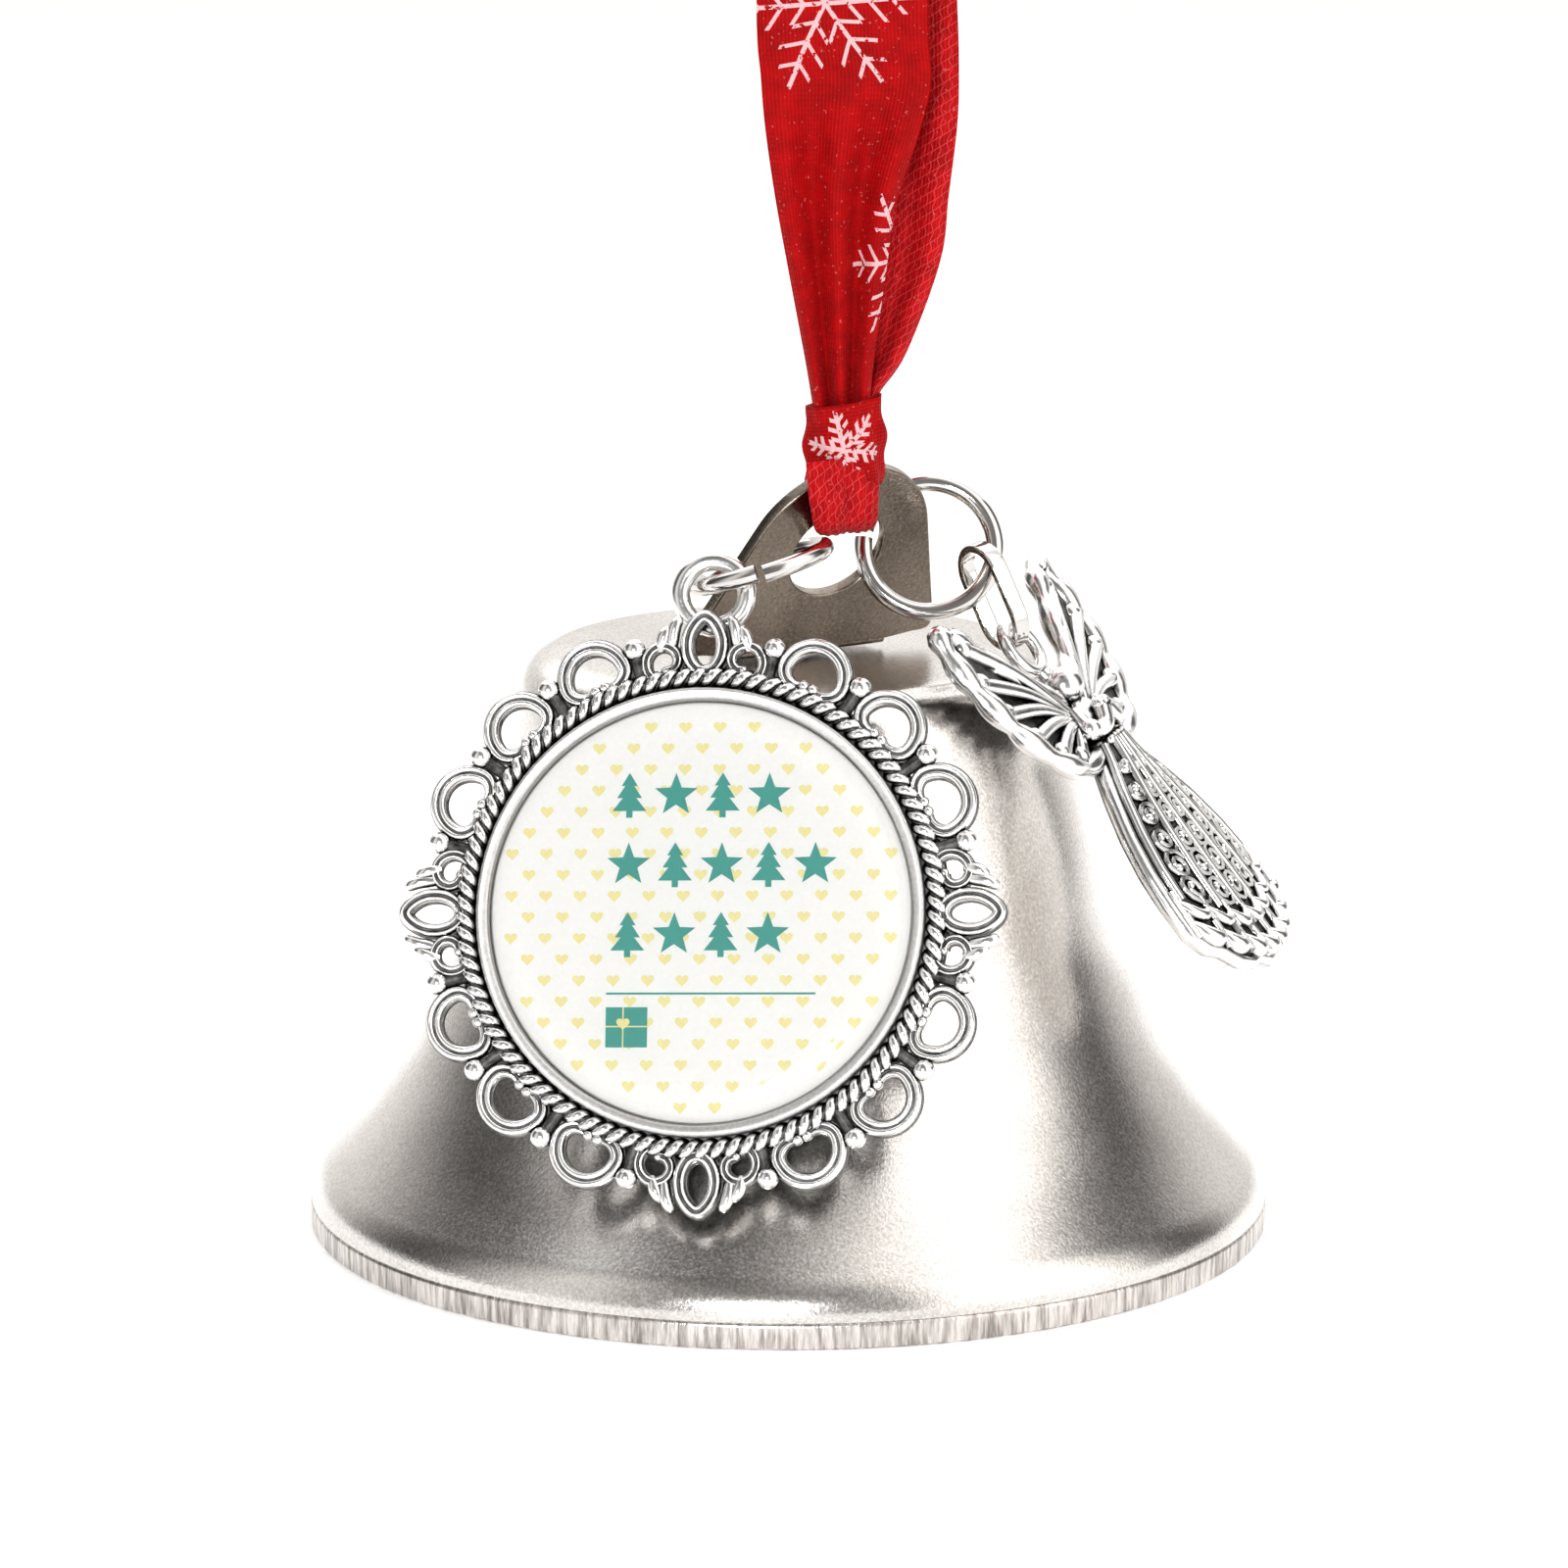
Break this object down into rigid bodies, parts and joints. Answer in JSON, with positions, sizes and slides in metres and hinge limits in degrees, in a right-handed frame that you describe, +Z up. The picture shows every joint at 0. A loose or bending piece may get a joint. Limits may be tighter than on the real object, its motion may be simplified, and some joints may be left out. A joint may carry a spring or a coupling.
{
  "type": "christmas bell ornament",
  "caption": "Small nickel-plated hanging bell with a clapper, on a red snowflake ribbon, with a round filigree picture charm and an angel charm ringed to its hanger.",
  "frame": {"origin": "top of the ribbon's loop, where a hook or twig holds it", "axes": "+Z up along the hanging ribbon, -Y towards the side with the picture charm, +X towards the angel charm"},
  "size_m": [0.0591, 0.059, 0.136],
  "materials": {
    "satin_nickel": "satin nickel plate with a fine grain",
    "bright_nickel": "bright nickel plate",
    "antique_silver": "cast, silver plated, dark in the hollows",
    "printed_paper": "printed card",
    "clear_resin": "clear domed resin",
    "satin_ribbon": "red satin ribbon with white snowflakes"
  },
  "bodies": {
    "ribbon": {"ribbon_loop": "satin_ribbon"},
    "hitch": {"ribbon_hitch": "satin_ribbon"},
    "bell": {"bell_shell": "satin_nickel", "hanger_plate": "satin_nickel", "crown_rivet": "bright_nickel", "clapper_bracket": "satin_nickel"},
    "clapper_wire": {"clapper_link": "bright_nickel"},
    "clapper": {"clapper_ball": "bright_nickel"},
    "left_ring": {"charm_ring": "bright_nickel"},
    "picture_charm": {"charm_frame": "antique_silver", "printed_disc": "printed_paper", "clear_cover": "clear_resin"},
    "right_ring": {"angel_ring": "bright_nickel"},
    "oval_link": {"angel_link": "bright_nickel"},
    "angel": {"angel_figure": "antique_silver"}
  },
  "joints": [
    {"name": "ribbon_bend", "type": "hinge", "parent": "ribbon", "child": "hitch", "pos_m": [0, 0, -0.0849], "axis": [1, 0, 0], "range_deg": [-25, 25]},
    {"name": "bell_rock", "type": "hinge", "parent": "hitch", "child": "bell", "pos_m": [-0.00117, 0.00207, -0.09309], "axis": [0.4679, -0.7488, -0.4695], "range_deg": [-12, 20]},
    {"name": "clapper_link_swing", "type": "hinge", "parent": "bell", "child": "clapper_wire", "pos_m": [-0.00391, 0.01175, -0.1056], "axis": [0, 1, 0], "range_deg": [-40, 40]},
    {"name": "clapper_swing", "type": "hinge", "parent": "clapper_wire", "child": "clapper", "pos_m": [-0.00391, 0.01175, -0.1153], "axis": [1, 0, 0], "range_deg": [-40, 40]},
    {"name": "charm_ring_lift", "type": "hinge", "parent": "bell", "child": "left_ring", "pos_m": [-0.00276, 0.00077, -0.09273], "axis": [-0.6462, 0.7201, -0.2528], "range_deg": [0, 45]},
    {"name": "charm_swing", "type": "hinge", "parent": "left_ring", "child": "picture_charm", "pos_m": [-0.0084, -0.00458, -0.09415], "axis": [-0.6182, 0.7466, -0.2458], "range_deg": [0, 60]},
    {"name": "angel_ring_lift", "type": "hinge", "parent": "bell", "child": "right_ring", "pos_m": [0.00058, 0.00351, -0.09353], "axis": [0.0749, -0.3763, -0.9235], "range_deg": [0, 20]},
    {"name": "angel_link_swing", "type": "hinge", "parent": "right_ring", "child": "oval_link", "pos_m": [0.00846, 0.00373, -0.09355], "axis": [0.0578, 0.3799, 0.9232], "range_deg": [-25, 0]},
    {"name": "angel_swing", "type": "hinge", "parent": "oval_link", "child": "angel", "pos_m": [0.00962, 0.00216, -0.09895], "axis": [0.4614, -0.8079, 0.3665], "range_deg": [0, 60]}
  ]
}
